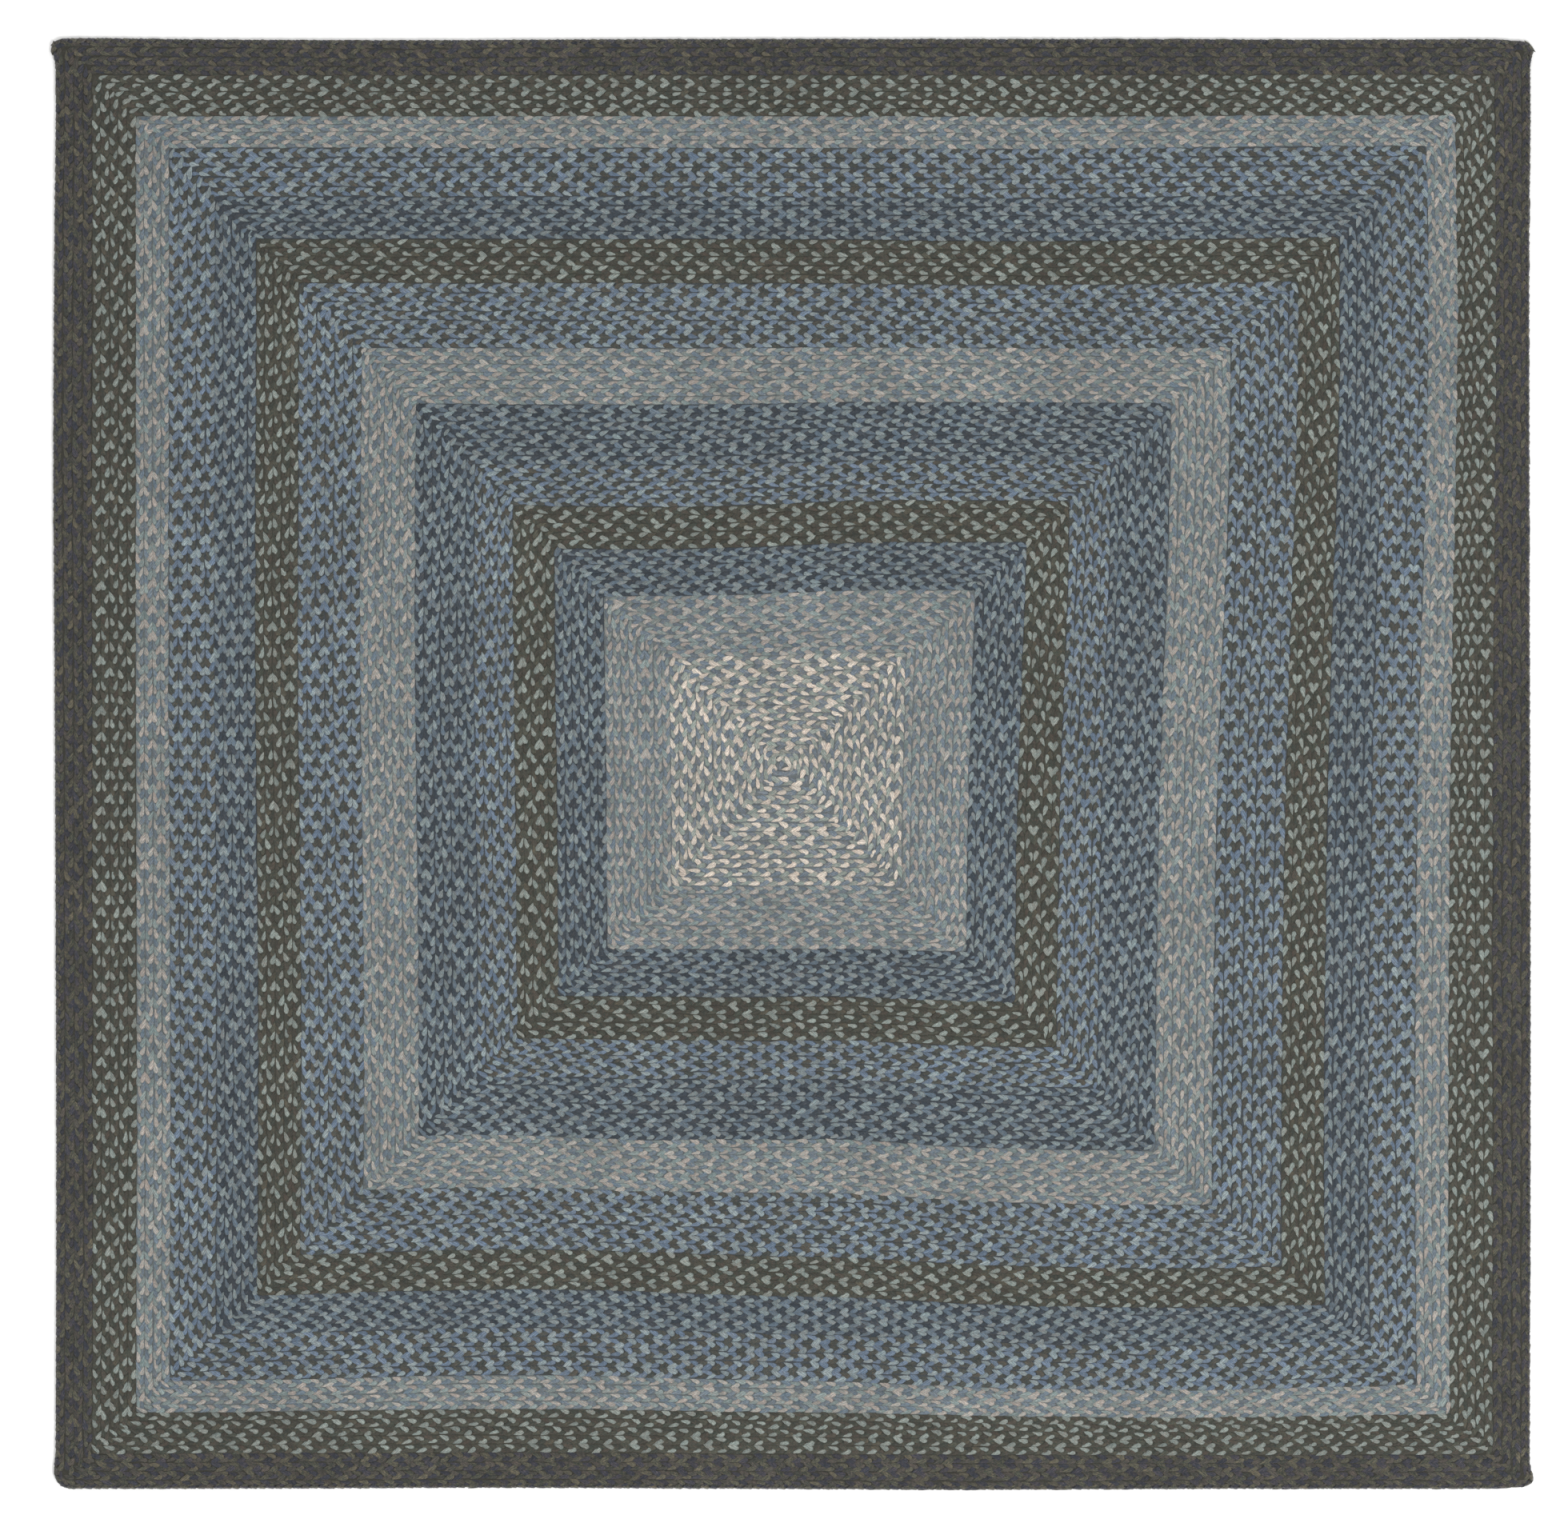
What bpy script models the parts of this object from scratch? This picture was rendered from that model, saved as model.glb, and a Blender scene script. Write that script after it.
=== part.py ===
"""A square braided rug, lying flat: one piece, laced up from rows of three-strand braid.

The sizes below are in millimetres, and the mesh is made in metres: +Z up, +Y towards the back edge.
The origin is on the floor, under the middle of the rug. The rows run round the rug as rings, one
inside the next, from the outer edge to the eye at the middle. Each row stands up as a rib, with a
groove on either side where it is laced to its neighbours.
"""

import math

import bmesh
import bpy

MM = 0.001  # one millimetre in the mesh

RUG_WIDTH = 2438  # left to right, a rug sold as eight feet square
RUG_DEPTH = 2398  # back to front
BRAID_HEIGHT = 11  # floor to the top of a braid
GROOVE_HEIGHT = 8.5  # floor to the bottom of a groove
EDGE_HEIGHT = 5.5  # floor to where the outer braid bulges furthest out
EDGE_TUCK = 3  # how far the outer braid draws in where it meets the floor

# One line for each colour band, from the edge inwards: its rows of braid, its outer edge, as half
# of its width and half of its depth, and how far its middle lies from the middle of the rug.
BANDS = (
    # name, rows, half width, half depth, middle across, middle back to front
    ("edge olive and navy", 4, RUG_WIDTH / 2, RUG_DEPTH / 2, 0, 0),
    ("olive with sage", 5, 1158, 1140, 1, -1),
    ("rose, sage and slate", 4, 1087, 1072, 2, -1),
    ("olive and periwinkle", 5, 1033, 1020, 3, -1),
    ("navy and steel", 5, 957, 941, 3, -3),
    ("second olive with sage", 5, 887, 875, 1, -7),
    ("second olive and periwinkle", 7, 817, 806, 2, -11),
    ("second rose, sage and slate", 7, 709, 700, -3, -12),
    ("second navy and steel", 7, 616, 610, -5, -14),
    ("third olive and periwinkle", 5, 519, 511, -4, -13),
    ("third olive with sage", 5, 452, 445, -6, -15),
    ("third navy and steel", 6, 382, 374, -7, -13),
    ("third rose, sage and slate", 8, 300, 295, -7, -12),
    ("cream, sage and slate", 12, 192, 191, -8, -11),
    ("eye", 1, 24, 22, -13, -3),
)

# Hand lacing pulls the rows a little off true. Each line draws the rows round one place aside.
PULLS = (
    # across, back to front, reach across, reach back to front, move across, move back to front
    (600, -780, 480, 330, -6, -14),
    (-420, -760, 380, 330, 0, 13),
    (950, 750, 420, 520, 17, 4),
    (420, 820, 330, 260, 6, -5),
    (650, -420, 520, 520, -8, -5),
    (-700, -500, 500, 500, 4, 0),
    (-260, 330, 260, 260, -4, -6),
    (330, 380, 260, 300, 12, 6),
)
STRAIGHT_EDGE = 180  # the pulls fade out over this distance from the rug's edge

# The outer braid swells where it turns at three corners, and is drawn in where it ends at the fourth.
CORNERS = (
    # side across, side back to front, how far it stands out
    (-1, 1, 5),
    (1, 1, 5),
    (1, -1, 5),
    (-1, -1, -6),
)
CORNER_REACH = 22
EDGE_RADIUS = 12  # corner of the outer edge
TURN_RADIUS = 6  # corner of the rows inside it, which turn tightly
ROUND_ROWS = 4  # the innermost rows, which grow rounder towards the eye

SIDE_STEPS = 4  # straight lengths in each side of a ring
CORNER_STEPS = 2  # and in each corner


def clear_scene():
    for obj in list(bpy.data.objects):
        bpy.data.objects.remove(obj)


def yarn_material():
    material = bpy.data.materials.new("braided_yarn")
    material.use_nodes = True
    shader = material.node_tree.nodes["Principled BSDF"]
    shader.inputs["Base Color"].default_value = (0.13, 0.14, 0.14, 1.0)
    shader.inputs["Roughness"].default_value = 0.95
    shader.inputs["Metallic"].default_value = 0.0
    return material


def between(outer, inner, share):
    return [a + (b - a) * share for a, b in zip(outer, inner)]


def grooves():
    """Half width, half depth and middle of each groove, from the outer edge in to the eye."""
    edges = []
    for band, inner_band in zip(BANDS, BANDS[1:]):
        rows = band[1]
        edges += [between(band[2:], inner_band[2:], row / rows) for row in range(rows)]
    return edges + [list(BANDS[-1][2:])]


def pulled(x, y):
    """Where the lacing has drawn a point of a true ring."""
    from_edge = min(RUG_WIDTH / 2 - abs(x), RUG_DEPTH / 2 - abs(y))
    fade = min(max(from_edge / STRAIGHT_EDGE, 0), 1)
    move_x = move_y = 0
    for at_x, at_y, reach_x, reach_y, across, back in PULLS:
        strength = math.exp(-(((x - at_x) / reach_x) ** 2) - ((y - at_y) / reach_y) ** 2)
        move_x += across * fade * strength
        move_y += back * fade * strength
    for side_x, side_y, out in CORNERS:
        away = math.hypot(x - side_x * RUG_WIDTH / 2, y - side_y * RUG_DEPTH / 2)
        swell = out * math.exp(-((away / CORNER_REACH) ** 2)) / math.sqrt(2)
        move_x += side_x * swell
        move_y += side_y * swell
    return x + move_x, y + move_y


def corner_points(half_width, half_depth, radius):
    """The four rounded corners in turn, counterclockwise from the back right one."""
    points = []
    for quarter, (side_x, side_y) in enumerate(((1, 1), (-1, 1), (-1, -1), (1, -1))):
        for step in range(CORNER_STEPS + 1):
            angle = math.pi / 2 * (quarter + step / CORNER_STEPS)
            points.append(
                (
                    side_x * (half_width - radius) + radius * math.cos(angle),
                    side_y * (half_depth - radius) + radius * math.sin(angle),
                )
            )
    return points


def ring(half_width, half_depth, middle_x, middle_y, radius):
    """The points of one ring: its corners, with the steps of a side after each."""
    corners = corner_points(half_width, half_depth, radius)
    points = []
    for index, corner in enumerate(corners):
        points.append(corner)
        if index % (CORNER_STEPS + 1) == CORNER_STEPS:
            following = corners[(index + 1) % len(corners)]
            points += [between(corner, following, step / SIDE_STEPS) for step in range(1, SIDE_STEPS)]
    return [pulled(middle_x + x, middle_y + y) for x, y in points]


def inner_ring(groove, rows_left):
    """A ring inside the outer edge. It turns tightly, unless only a few rows are left inside it."""
    smallest_half = min(groove[:2])
    roundness = max(0, 1 - rows_left / ROUND_ROWS)
    radius = TURN_RADIUS + (smallest_half - TURN_RADIUS) * roundness
    return ring(*groove, min(radius, smallest_half))


def sections():
    """The points and height of each ring of the skin, from the floor up the edge and in to the eye."""
    edges = grooves()
    half_width, half_depth, *middle = edges[0]
    tucked = (half_width - EDGE_TUCK, half_depth - EDGE_TUCK, *middle)
    rings = [(ring(*tucked, EDGE_RADIUS), 0), (ring(*edges[0], EDGE_RADIUS), EDGE_HEIGHT)]
    rows = len(edges) - 1
    for row, (outer, inner) in enumerate(zip(edges, edges[1:])):
        crest = between(outer, inner, 0.5)
        rings.append((inner_ring(crest, rows - row - 0.5), BRAID_HEIGHT))
        rings.append((inner_ring(inner, rows - row - 1), GROOVE_HEIGHT))
    eye_width, eye_depth, *eye_middle = edges[-1]
    rings.append((inner_ring((eye_width / 2, eye_depth / 2, *eye_middle), 0), BRAID_HEIGHT))
    return rings


def make_rug():
    """The whole rug: its rings joined into one skin, flat underneath and closed at the eye."""
    shape = bmesh.new()
    loops = [
        [shape.verts.new((x * MM, y * MM, height * MM)) for x, y in points]
        for points, height in sections()
    ]
    for outer, inner in zip(loops, loops[1:]):
        for index in range(len(outer)):
            corners = (outer[index - 1], outer[index], inner[index], inner[index - 1])
            shape.faces.new(corners)
    shape.faces.new(reversed(loops[0]))
    shape.faces.new(loops[-1])
    mesh = bpy.data.meshes.new("braided_rug")
    shape.to_mesh(mesh)
    shape.free()
    mesh.materials.append(yarn_material())
    return bpy.data.objects.new("braided_rug", mesh)


clear_scene()
rug_parts = bpy.data.collections.new("braided_rug")
bpy.context.scene.collection.children.link(rug_parts)
rug_parts.objects.link(make_rug())
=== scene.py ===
import math
import random

import bmesh
import bpy
from mathutils import Matrix, Vector


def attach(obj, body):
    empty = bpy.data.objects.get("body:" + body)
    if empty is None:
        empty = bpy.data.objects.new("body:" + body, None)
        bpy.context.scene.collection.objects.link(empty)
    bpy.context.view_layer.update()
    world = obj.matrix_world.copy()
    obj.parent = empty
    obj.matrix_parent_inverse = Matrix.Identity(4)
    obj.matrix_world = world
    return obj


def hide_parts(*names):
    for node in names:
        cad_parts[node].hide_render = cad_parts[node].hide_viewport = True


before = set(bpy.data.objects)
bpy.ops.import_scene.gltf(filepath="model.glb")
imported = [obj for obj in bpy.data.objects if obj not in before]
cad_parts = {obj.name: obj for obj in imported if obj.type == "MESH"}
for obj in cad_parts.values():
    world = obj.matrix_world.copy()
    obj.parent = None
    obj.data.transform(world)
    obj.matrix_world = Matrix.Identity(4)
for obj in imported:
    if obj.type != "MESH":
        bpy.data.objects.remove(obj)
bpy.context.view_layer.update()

mm = 0.001  # the tables below are in millimetres, and the meshes are in metres


def linear(hexColour):
    # sRGB hex to the linear numbers that the shaders take
    parts = [int(hexColour[i : i + 2], 16) / 255 for i in (1, 3, 5)]
    return [c / 12.92 if c <= 0.04045 else ((c + 0.055) / 1.055) ** 2.4 for c in parts] + [1.0]


def addNode(tree, kind, inputs=(), **settings):
    # inputs is a dictionary by name, or a list by order, of numbers, nodes and sockets
    node = tree.nodes.new(kind)
    for name, value in settings.items():
        setattr(node, name, value)
    sockets = [socket for socket in node.inputs if socket.enabled]
    pairs = inputs.items() if isinstance(inputs, dict) else enumerate(inputs)
    for key, value in pairs:
        socket = sockets[key] if isinstance(key, int) else next(s for s in sockets if s.name == key)
        if isinstance(value, bpy.types.Node):
            value = next(s for s in value.outputs if s.enabled)
        if isinstance(value, bpy.types.NodeSocket):
            tree.links.new(value, socket)
        else:
            socket.default_value = value
    return node


def addObject(name, data):
    obj = bpy.data.objects.new(name, data)
    bpy.context.scene.collection.objects.link(obj)
    return obj


rug = {
    "halfWidth": 1219,  # eight feet square, as sold
    "halfDepth": 1199,
    "thickness": 11,  # from the floor to the top of a braid
    "edgeTurn": 8,  # radius of the outermost row's corners
    "rowTurn": 5,  # and of the rows inside it, which turn tightly
    "straightEdge": 180,  # the pulls below fade out over this distance from the edge
    "sideStep": 55,  # about the length of one straight piece in a row's line
    "arcSteps": 4,  # straight pieces in a corner
    "cornerStretch": 1.05,  # how much longer the outer stitches are where a row turns
    "edgeStretch": 0.85,  # and in the outermost row, where longer ones would stick out
    "cornerSpot": 0.9,  # length of the stitches that fill the corners
    "spotShare": 0.7,  # share of the corners that have one
    "pitchSlack": 0.04,  # how far the pitch may stray from the band's for rows to pair up
    "startReach": 0.2,  # furthest a row starts from the middle of its side, over its half width
    "spotDepth": 0.8,  # how much lower the stitches that fill the corners lie
}

# One line for each colour band, from the edge inwards. The pitch is from stitch to stitch along a row,
# and the last number is the share of the rows that pair up with the one outside them.
bands = [
    # name, yarns, rows, half width, half depth, middle across, middle back to front, pitch, pairing
    ("outer_row", "oliveNavy", 1, rug["halfWidth"], rug["halfDepth"], 0, 0, 14.6, 0.0),
    ("edge_olive_navy", "oliveNavy", 3, 1203.7, 1184.2, 0, 0, 14.6, 0.5),
    ("band_olive_1", "oliveSage", 5, 1158, 1140, 1, -1, 13.8, 0.4),
    ("band_rose_1", "roseSlate", 4, 1087, 1072, 2, -1, 14.7, 0.5),
    ("band_periwinkle_1", "olivePeriwinkle", 5, 1033, 1020, 3, -1, 14.2, 0.95),
    ("band_navy_1", "navySteel", 5, 957, 941, 3, -3, 14.4, 0.6),
    ("band_olive_2", "oliveSage", 5, 887, 875, 1, -7, 14.1, 0.45),
    ("band_periwinkle_2", "olivePeriwinkle", 7, 817, 806, 2, -11, 14.5, 0.85),
    ("band_rose_2", "roseSlate", 7, 709, 700, -3, -12, 14.6, 0.5),
    ("band_navy_2", "navySteel", 7, 616, 610, -5, -14, 14.4, 0.7),
    ("band_periwinkle_3", "olivePeriwinkle", 5, 519, 511, -4, -13, 14.4, 0.85),
    ("band_olive_3", "oliveSage", 5, 452, 445, -6, -15, 14.0, 0.5),
    ("band_navy_3", "navySteel", 6, 382, 374, -7, -13, 14.2, 0.7),
    ("band_rose_3", "paleRoseSlate", 8, 300, 295, -7, -12, 14.8, 0.5),
    ("band_cream", "creamSlate", 12, 192, 191, -8, -11, 15.1, 0.55),
    ("eye", "creamSlate", 1, 23, 19, -9, -2, 12.5, 0.0),
]

# Hand lacing pulls the rows a little off true. Each line draws the rows round one place aside.
pulls = [
    # across, back to front, reach across, reach back to front, move across, move back to front
    (600, -780, 480, 330, -6, -14),
    (-420, -760, 380, 330, 0, 13),
    (950, 750, 420, 520, 17, 4),
    (420, 820, 330, 260, 6, -5),
    (650, -420, 520, 520, -8, -5),
    (-700, -500, 500, 500, 4, 0),
    (-260, 330, 260, 260, -4, -6),
    (330, 380, 260, 300, 12, 6),
    (100, -600, 120, 350, 0, 6),
    (600, -1000, 350, 120, 0, -6),
    (700, 500, 120, 350, 6, 0),
    (-700, 200, 300, 300, -3, 0),
    (-270, -640, 130, 120, 0, -7),
    (-500, -1100, 300, 300, 0, 4),
    (100, 400, 120, 350, 0, 3),
]

# The outer rows wander a little too, and swell where they turn at the corners.
swells = [
    (-1219, 522, 45, 330, -2.6, 0),
    (-1219, -700, 45, 520, 2.4, 0),
    (-1219, 1080, 45, 110, 1.6, 0),
    (1219, -480, 45, 750, 2.6, 0),
    (1219, 1080, 45, 130, 2.2, 0),
    (-674, 1199, 300, 45, 0, -2.2),
    (-1150, 1199, 100, 45, 0, 1.6),
    (900, 1199, 200, 45, 0, -1.2),
    (-500, -1199, 300, 45, 0, 1.6),
    (280, -1199, 250, 45, 0, -1.8),
    (-1219, 1184, 14, 15, -7, 0),
    (1219, 1181, 14, 15, 6, 0),
    (1205, 1199, 30, 14, 0, -4),
    (1219, -1183, 14, 15, 6, 0),
    (1200, -1199, 30, 14, 0, 3),
    (-1219, -1168, 14, 18, -3, 0),
    (-1219, -1199, 14, 14, 6, 5),
]


def between(outer, inner, share):
    return [a + (b - a) * share for a, b in zip(outer, inner)]


def pulled(x, y):
    # where the lacing has drawn a point of a true ring
    fromEdge = min(rug["halfWidth"] - abs(x), rug["halfDepth"] - abs(y))
    fade = min(max(fromEdge / rug["straightEdge"], 0), 1)
    moveX = moveY = 0
    for places, share in ((pulls, fade), (swells, 1)):
        for atX, atY, reachX, reachY, across, back in places:
            strength = share * math.exp(-(((x - atX) / reachX) ** 2) - ((y - atY) / reachY) ** 2)
            moveX += across * strength
            moveY += back * strength
    return x + moveX, y + moveY


def ringLine(ring, turn, stretch, firstSide=0, start=0):
    # The points of one ring, clockwise, each with its stretch. The line starts in the middle of one side,
    # moved along by start, and the sides are the left, back, right and front ones.
    halfWidth, halfDepth, middleX, middleY = ring
    turn = min(turn, halfWidth, halfDepth)
    line, middles = [], []
    for quarter in [(firstSide + i) % 4 for i in range(5)]:
        sideX, sideY = ((-1, -1), (-1, 1), (1, 1), (1, -1))[quarter]
        alongX, alongY = ((0, 1), (1, 0), (0, -1), (-1, 0))[quarter]
        for step in range(rug["arcSteps"] + 1):
            angle = -math.pi / 2 * (quarter + 1 + step / rug["arcSteps"])
            x = sideX * (halfWidth - turn) + turn * math.cos(angle)
            y = sideY * (halfDepth - turn) + turn * math.sin(angle)
            line.append((x, y, stretch))
        length = 2 * (halfWidth if quarter % 2 else halfDepth) - 2 * turn
        steps = 2 * max(2, round(length / rug["sideStep"] / 2))
        for step in range(1, steps):
            share = (1 - math.cos(math.pi * step / steps)) / 2  # close together near the corners
            if step == steps // 2:
                share += start / length
                middles.append(len(line))
            line.append((x + alongX * length * share, y + alongY * length * share, 1.0))
    line = line[middles[0] : middles[-1]]
    return [(*pulled(middleX + x, middleY + y), drawn) for x, y, drawn in line]


def cornerSpots(halfWidth, halfDepth, middleX, middleY):
    # a short open line across each corner of a ring, for the one stitch that fills it
    spots = []
    for sideX, sideY, alongX, alongY in ((-1, -1, -1, 1), (-1, 1, 1, 1), (1, 1, 1, -1), (1, -1, -1, -1)):
        x, y = pulled(middleX + sideX * halfWidth, middleY + sideY * halfDepth)
        ends = ((x, y), (x + alongX, y + alongY))
        spots.append((0, [(*end, rug["cornerSpot"]) for end in ends]))
    return spots


def rowCurve(name, lines):
    # one closed line for each row, whose tilt carries the number of colour repeats in it
    curve = bpy.data.curves.new(name, "CURVE")
    curve.dimensions = "3D"
    for repeats, line in lines:
        closed = repeats > 0
        height = 0 if closed else -rug["spotDepth"]
        spline = curve.splines.new("POLY")
        spline.points.add(len(line) - 1)
        spline.use_cyclic_u = closed
        for point, (x, y, stretch) in zip(spline.points, line):
            point.co = (x * mm, y * mm, height * mm, 1)
            point.radius = stretch
            point.tilt = repeats
    return addObject(name, curve)


def wholeRepeats(ring, pitch):
    # how many colour repeats, of three stitches each, go into a ring
    return max(round(4 * (ring[0] + ring[1]) / (3 * pitch)), 1)


dice = random.Random(86)


def bandLines(band, innerBand):
    # The middle line of each row of a band, and its number of colour repeats. A share of the rows, which
    # the band gives, start half a repeat further on than the one outside them and have a repeat less in
    # each side, so that their stitches pair up in hearts across the groove.
    rows = band[2]
    pitch, pairing = band[7:]
    outermost = band == bands[0]
    turn = rug["edgeTurn" if outermost else "rowTurn"]
    stretch = rug["edgeStretch" if outermost else "cornerStretch"]
    halfRepeat = 1.5  # stitches
    lines = []
    for row in range(rows):
        ring = between(band[3:7], innerBand[3:7], (row + 0.5) / rows)
        usual = wholeRepeats(ring, pitch)
        if row and dice.random() < pairing:
            start += halfRepeat * pitch if start < 0 else -halfRepeat * pitch
            fewer = repeats - 4
            repeats = fewer if abs(fewer - usual) < rug["pitchSlack"] * usual else usual
        else:
            firstSide, start = dice.randrange(4), dice.uniform(-halfRepeat, halfRepeat) * pitch
            repeats = usual
        furthest = min(ring[:2]) * rug["startReach"]
        start = min(max(start, -furthest), furthest)
        lines.append((repeats, ringLine(ring, turn, stretch, firstSide, start)))
        if not outermost:
            lines += [spot for spot in cornerSpots(*ring) if dice.random() < rug["spotShare"]]
    return lines


print("rows of braid", sum(band[2] for band in bands))


# Seen from above, a strand comes up at the braid's middle line with a round end, and runs out to the
# braid's side in a point. Sizes are for a row 14 mm wide with a stitch every 14.4 mm.
stitch = {
    "pitch": 14.4,
    "rowWidth": 14,
    # along the row, out from its middle, and up from the rim's own height
    "rim": [
        (10.2, 6.7, -1.4), (1.8, 7.2, -1.3), (-5.2, 6.7, -1.0), (-9.6, 3.4, -0.3),
        (-8.7, -0.5, 0.3), (-3.8, -1.9, 0.5), (3.6, 1.6, -0.2),
    ],
    "rimHeight": 8.3,
    "top": [(3.4, 4.5, 1.3), (-3.8, 2.4, 2.5)],
    "bottom": (-1.0, 3.2, -7.0),
    "middle": (0.2, 3.6),  # of its place on the map
    "axis": 15,  # degrees between the stitch and its row
    "length": 21.0,  # of its place on the map
    "width": 11.0,
}
mapTiles = 12  # the yarn's map has 12 by 12 places, each for one colour, tone and lie of fibres


def stitchObject(name, side):
    # side 1 lies on the outer side of its row, and -1 is its mirror image
    points = stitch["rim"] + stitch["top"] + [stitch["bottom"]]
    tip, outer, back, end, heel, inner, front, crest, hump, low = range(10)
    faces = [
        (tip, outer, crest), (outer, back, hump, crest), (back, end, hump), (end, heel, hump),
        (heel, inner, hump), (inner, front, crest, hump), (front, tip, crest),
        (outer, tip, low), (back, outer, low), (end, back, low), (heel, end, low), (inner, heel, low),
        (front, inner, low), (tip, front, low),
    ]
    if side > 0:
        faces = [tuple(reversed(face)) for face in faces]
    mesh = bpy.data.meshes.new(name)
    mesh.from_pydata([(x * mm, side * y * mm, z * mm) for x, y, z in points], [], faces)
    rim = len(stitch["rim"])
    sharp = mesh.attributes.new("sharp_edge", "BOOLEAN", "EDGE")
    for meshEdge in mesh.edges:
        sharp.data[meshEdge.index].value = max(meshEdge.vertices) < rim
    turn = math.radians(stitch["axis"])
    middleX, middleY = stitch["middle"]
    layer = mesh.uv_layers.new(name="OFBake")
    for loop in mesh.loops:
        x, y = points[loop.vertex_index][:2]
        along = (x - middleX) * math.cos(turn) + (y - middleY) * math.sin(turn)
        across = (y - middleY) * math.cos(turn) - (x - middleX) * math.sin(turn)
        layer.data[loop.index].uv = (0.5 + along / stitch["length"], 0.5 + across / stitch["width"])
    return addObject(name, mesh)


# How far braiding and lacing by hand stray from a regular braid.
handwork = {
    "sways": 9.0,  # of a row to the metre
    "jolt": 0.12,  # from stitch to stitch, over the height of a sway
    "slip": 0.07,  # of the pitch, that a stitch lies before or after its place
    "turns": (0.14, 0.08, 0.15),  # radians that a stitch is rolled, tipped and turned at most
    "leans": 3.0,  # to the metre, where a stretch of a row rolls to one side
    "rowsApart": 17.3,  # metres between the rows in that noise, so that each leans on its own
    "smallest": (0.82, 0.78, 0.84),  # length, width and height of the smallest stitch
    "biggest": (1.1, 1.18, 1.0),
    "patches": 5.0,  # to the metre, of darker and lighter yarn
    "toneSpread": 0.78,  # of the map's tones, from stitch to stitch
}


def braidInputs(tree):
    wanted = {
        "Geometry": ("Rows",),
        "Float": ("Stitch pitch", "Row width", "Rim height", "Roll", "Lean", "Sway", "Unevenness"),
        "Object": ("Outer stitch", "Inner stitch"),
        "Material": ("Yarn",),
    }
    for kind, names in wanted.items():
        for name in names:
            tree.interface.new_socket(name=name, in_out="INPUT", socket_type="NodeSocket" + kind)
    tree.interface.new_socket(name="Braid", in_out="OUTPUT", socket_type="NodeSocketGeometry")
    return addNode(tree, "NodeGroupInput").outputs


def swayed(tree, given, points, tangent, place):
    # the rows sway and their stitches slip, so that a dark groove opens between some of them
    outward = addNode(tree, "ShaderNodeVectorMath", ((0, 0, 1), tangent), operation="CROSS_PRODUCT")
    jolt, slip = (
        addNode(
            tree,
            "FunctionNodeRandomValue",
            {"Min": -handwork[kind], "Max": handwork[kind], "Seed": seed},
            data_type="FLOAT",
        )
        for kind, seed in (("jolt", 11), ("slip", 17))
    )
    drift = addNode(
        tree, "ShaderNodeTexNoise", {"Vector": place, "Scale": handwork["sways"], "Detail": 2.0}
    )
    drift = addNode(tree, "ShaderNodeMath", (drift, 0.5), operation="SUBTRACT")
    drift = addNode(tree, "ShaderNodeMath", (drift, jolt), operation="ADD")
    drift = addNode(tree, "ShaderNodeMath", (drift, given["Sway"]), operation="MULTIPLY")
    shift = addNode(tree, "ShaderNodeVectorMath", {0: outward, "Scale": drift}, operation="SCALE")
    slip = addNode(tree, "ShaderNodeMath", (slip, given["Stitch pitch"]), operation="MULTIPLY")
    slip = addNode(tree, "ShaderNodeVectorMath", {0: tangent, "Scale": slip}, operation="SCALE")
    shift = addNode(tree, "ShaderNodeVectorMath", (shift, slip), operation="ADD")
    return addNode(tree, "GeometryNodeSetPosition", {"Geometry": points, "Offset": shift})


def mapPlace(tree, strand, place):
    # each stitch's place on the yarn's map: a row for its strand, a column for its tone
    lie = addNode(
        tree, "FunctionNodeRandomValue", {"Min": 0, "Max": mapTiles // 3 - 1, "Seed": 3}, data_type="INT"
    )
    mapRow = addNode(tree, "ShaderNodeMath", (lie, 3.0, strand), operation="MULTIPLY_ADD")
    patch = addNode(
        tree, "ShaderNodeTexNoise", {"Vector": place, "Scale": handwork["patches"], "Detail": 3.0}
    )
    chance = addNode(
        tree, "FunctionNodeRandomValue", {"Min": -0.5, "Max": 0.5, "Seed": 5}, data_type="FLOAT"
    )
    tone = addNode(tree, "ShaderNodeMath", (chance, handwork["toneSpread"], patch), operation="MULTIPLY_ADD")
    toColumn = (("MULTIPLY", mapTiles), ("FLOOR",), ("MAXIMUM", 0.0), ("MINIMUM", mapTiles - 1.0))
    for operation, *number in toColumn:
        tone = addNode(tree, "ShaderNodeMath", (tone, *number), operation=operation)
    return addNode(tree, "ShaderNodeCombineXYZ", (tone, mapRow))


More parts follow.
